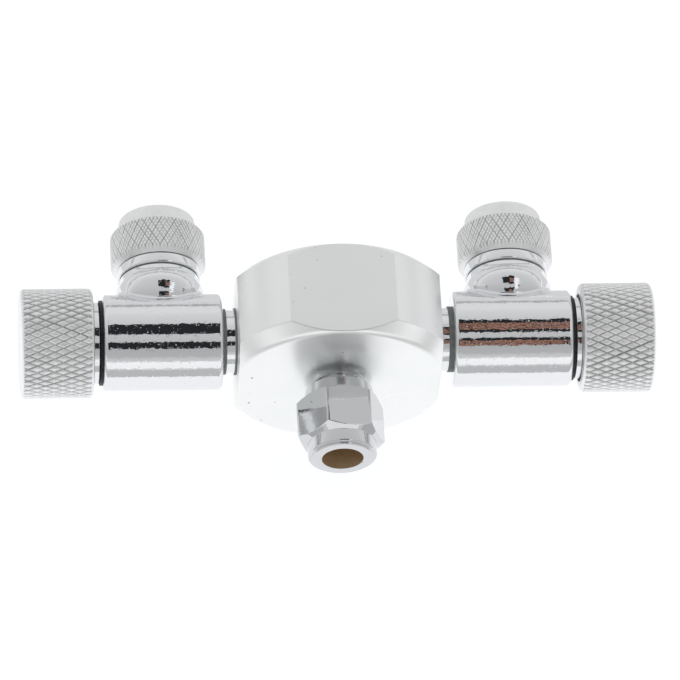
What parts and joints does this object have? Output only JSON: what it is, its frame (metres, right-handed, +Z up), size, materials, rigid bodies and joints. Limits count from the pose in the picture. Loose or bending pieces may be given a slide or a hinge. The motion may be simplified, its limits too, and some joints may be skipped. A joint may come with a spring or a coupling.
{
  "type": "carbon dioxide splitter",
  "caption": "Gas manifold with needle valves: a chamfered bar with milled flats, a hexagon tube nut in front, and knurled valve knobs and outlet nuts at the sides.",
  "frame": {"origin": "middle of the lower flat of the manifold, which it rests on", "axes": "+X to the right along the two valves, -Y out of the inlet, +Z up from the lower flat"},
  "size_m": [0.099, 0.0428, 0.0335],
  "materials": {
    "satin_aluminium": "satin, turned and milled",
    "knurled_aluminium": "diamond knurl, bright",
    "chrome": "bright plate over brass",
    "brass": "raw, turned",
    "black_rubber": "matte",
    "dark_steel": "blackened"
  },
  "bodies": {
    "manifold": {"manifold_block": "satin_aluminium", "inlet_stem": "chrome", "inlet_seal": "black_rubber", "valve_body_left": "chrome", "valve_nipple_left": "chrome", "port_seal_left": "black_rubber", "nipple_seal_left": "black_rubber", "bonnet_left": "chrome", "bonnet_seal_left": "black_rubber", "outlet_stem_left": "chrome", "outlet_seal_left": "black_rubber", "valve_body_right": "chrome", "valve_nipple_right": "chrome", "port_seal_right": "black_rubber", "nipple_seal_right": "black_rubber", "bonnet_right": "chrome", "bonnet_seal_right": "black_rubber", "outlet_stem_right": "chrome", "outlet_seal_right": "black_rubber"},
    "needle_seal_left": {"spindle_oring_left": "black_rubber"},
    "control_knob_left": {"spindle_left": "brass", "knob_left": "knurled_aluminium", "knob_screw_left": "dark_steel"},
    "needle_seal_right": {"spindle_oring_right": "black_rubber"},
    "control_knob_right": {"spindle_right": "brass", "knob_right": "knurled_aluminium", "knob_screw_right": "dark_steel"},
    "olive_left": {"outlet_olive_left": "brass"},
    "tube_nut_left": {"outlet_nut_left": "knurled_aluminium"},
    "olive_right": {"outlet_olive_right": "brass"},
    "tube_nut_right": {"outlet_nut_right": "knurled_aluminium"},
    "inlet_ring": {"inlet_olive": "brass"},
    "inlet_tube_nut": {"inlet_nut": "chrome"}
  },
  "joints": [
    {"name": "knob_left_travel", "type": "slide", "parent": "manifold", "child": "needle_seal_left", "axis": [-1, 0, 0], "range_m": [0, 0.0025]},
    {"name": "knob_left_turn", "type": "hinge", "parent": "needle_seal_left", "child": "control_knob_left", "pos_m": [-0.044, 0, 0.01675], "axis": [-1, 0, 0], "range_deg": [0, 1800]},
    {"name": "knob_right_travel", "type": "slide", "parent": "manifold", "child": "needle_seal_right", "axis": [1, 0, 0], "range_m": [0, 0.0025]},
    {"name": "knob_right_turn", "type": "hinge", "parent": "needle_seal_right", "child": "control_knob_right", "pos_m": [0.044, 0, 0.01675], "axis": [1, 0, 0], "range_deg": [0, 1800]},
    {"name": "outlet_nut_left_travel", "type": "slide", "parent": "manifold", "child": "olive_left", "axis": [0, 1, 0], "range_m": [0, 0.004]},
    {"name": "outlet_nut_left_turn", "type": "hinge", "parent": "olive_left", "child": "tube_nut_left", "pos_m": [-0.02735, 0.0158, 0.01675], "axis": [0, 1, 0], "range_deg": [0, 1440]},
    {"name": "outlet_nut_right_travel", "type": "slide", "parent": "manifold", "child": "olive_right", "axis": [0, 1, 0], "range_m": [0, 0.004]},
    {"name": "outlet_nut_right_turn", "type": "hinge", "parent": "olive_right", "child": "tube_nut_right", "pos_m": [0.02735, 0.0158, 0.01675], "axis": [0, 1, 0], "range_deg": [0, 1440]},
    {"name": "inlet_nut_travel", "type": "slide", "parent": "manifold", "child": "inlet_ring", "axis": [0, -1, 0], "range_m": [0, 0.004]},
    {"name": "inlet_nut_turn", "type": "hinge", "parent": "inlet_ring", "child": "inlet_tube_nut", "pos_m": [0, -0.0155, 0.01675], "axis": [0, -1, 0], "range_deg": [0, 1440]}
  ],
  "couplings": [
    {"joint": "knob_left_travel", "follows": "knob_left_turn", "m_per_rad": 0.000079577},
    {"joint": "knob_right_travel", "follows": "knob_right_turn", "m_per_rad": 0.000079577},
    {"joint": "outlet_nut_left_travel", "follows": "outlet_nut_left_turn", "m_per_rad": 0.00015915},
    {"joint": "outlet_nut_right_travel", "follows": "outlet_nut_right_turn", "m_per_rad": 0.00015915},
    {"joint": "inlet_nut_travel", "follows": "inlet_nut_turn", "m_per_rad": 0.00015915}
  ]
}
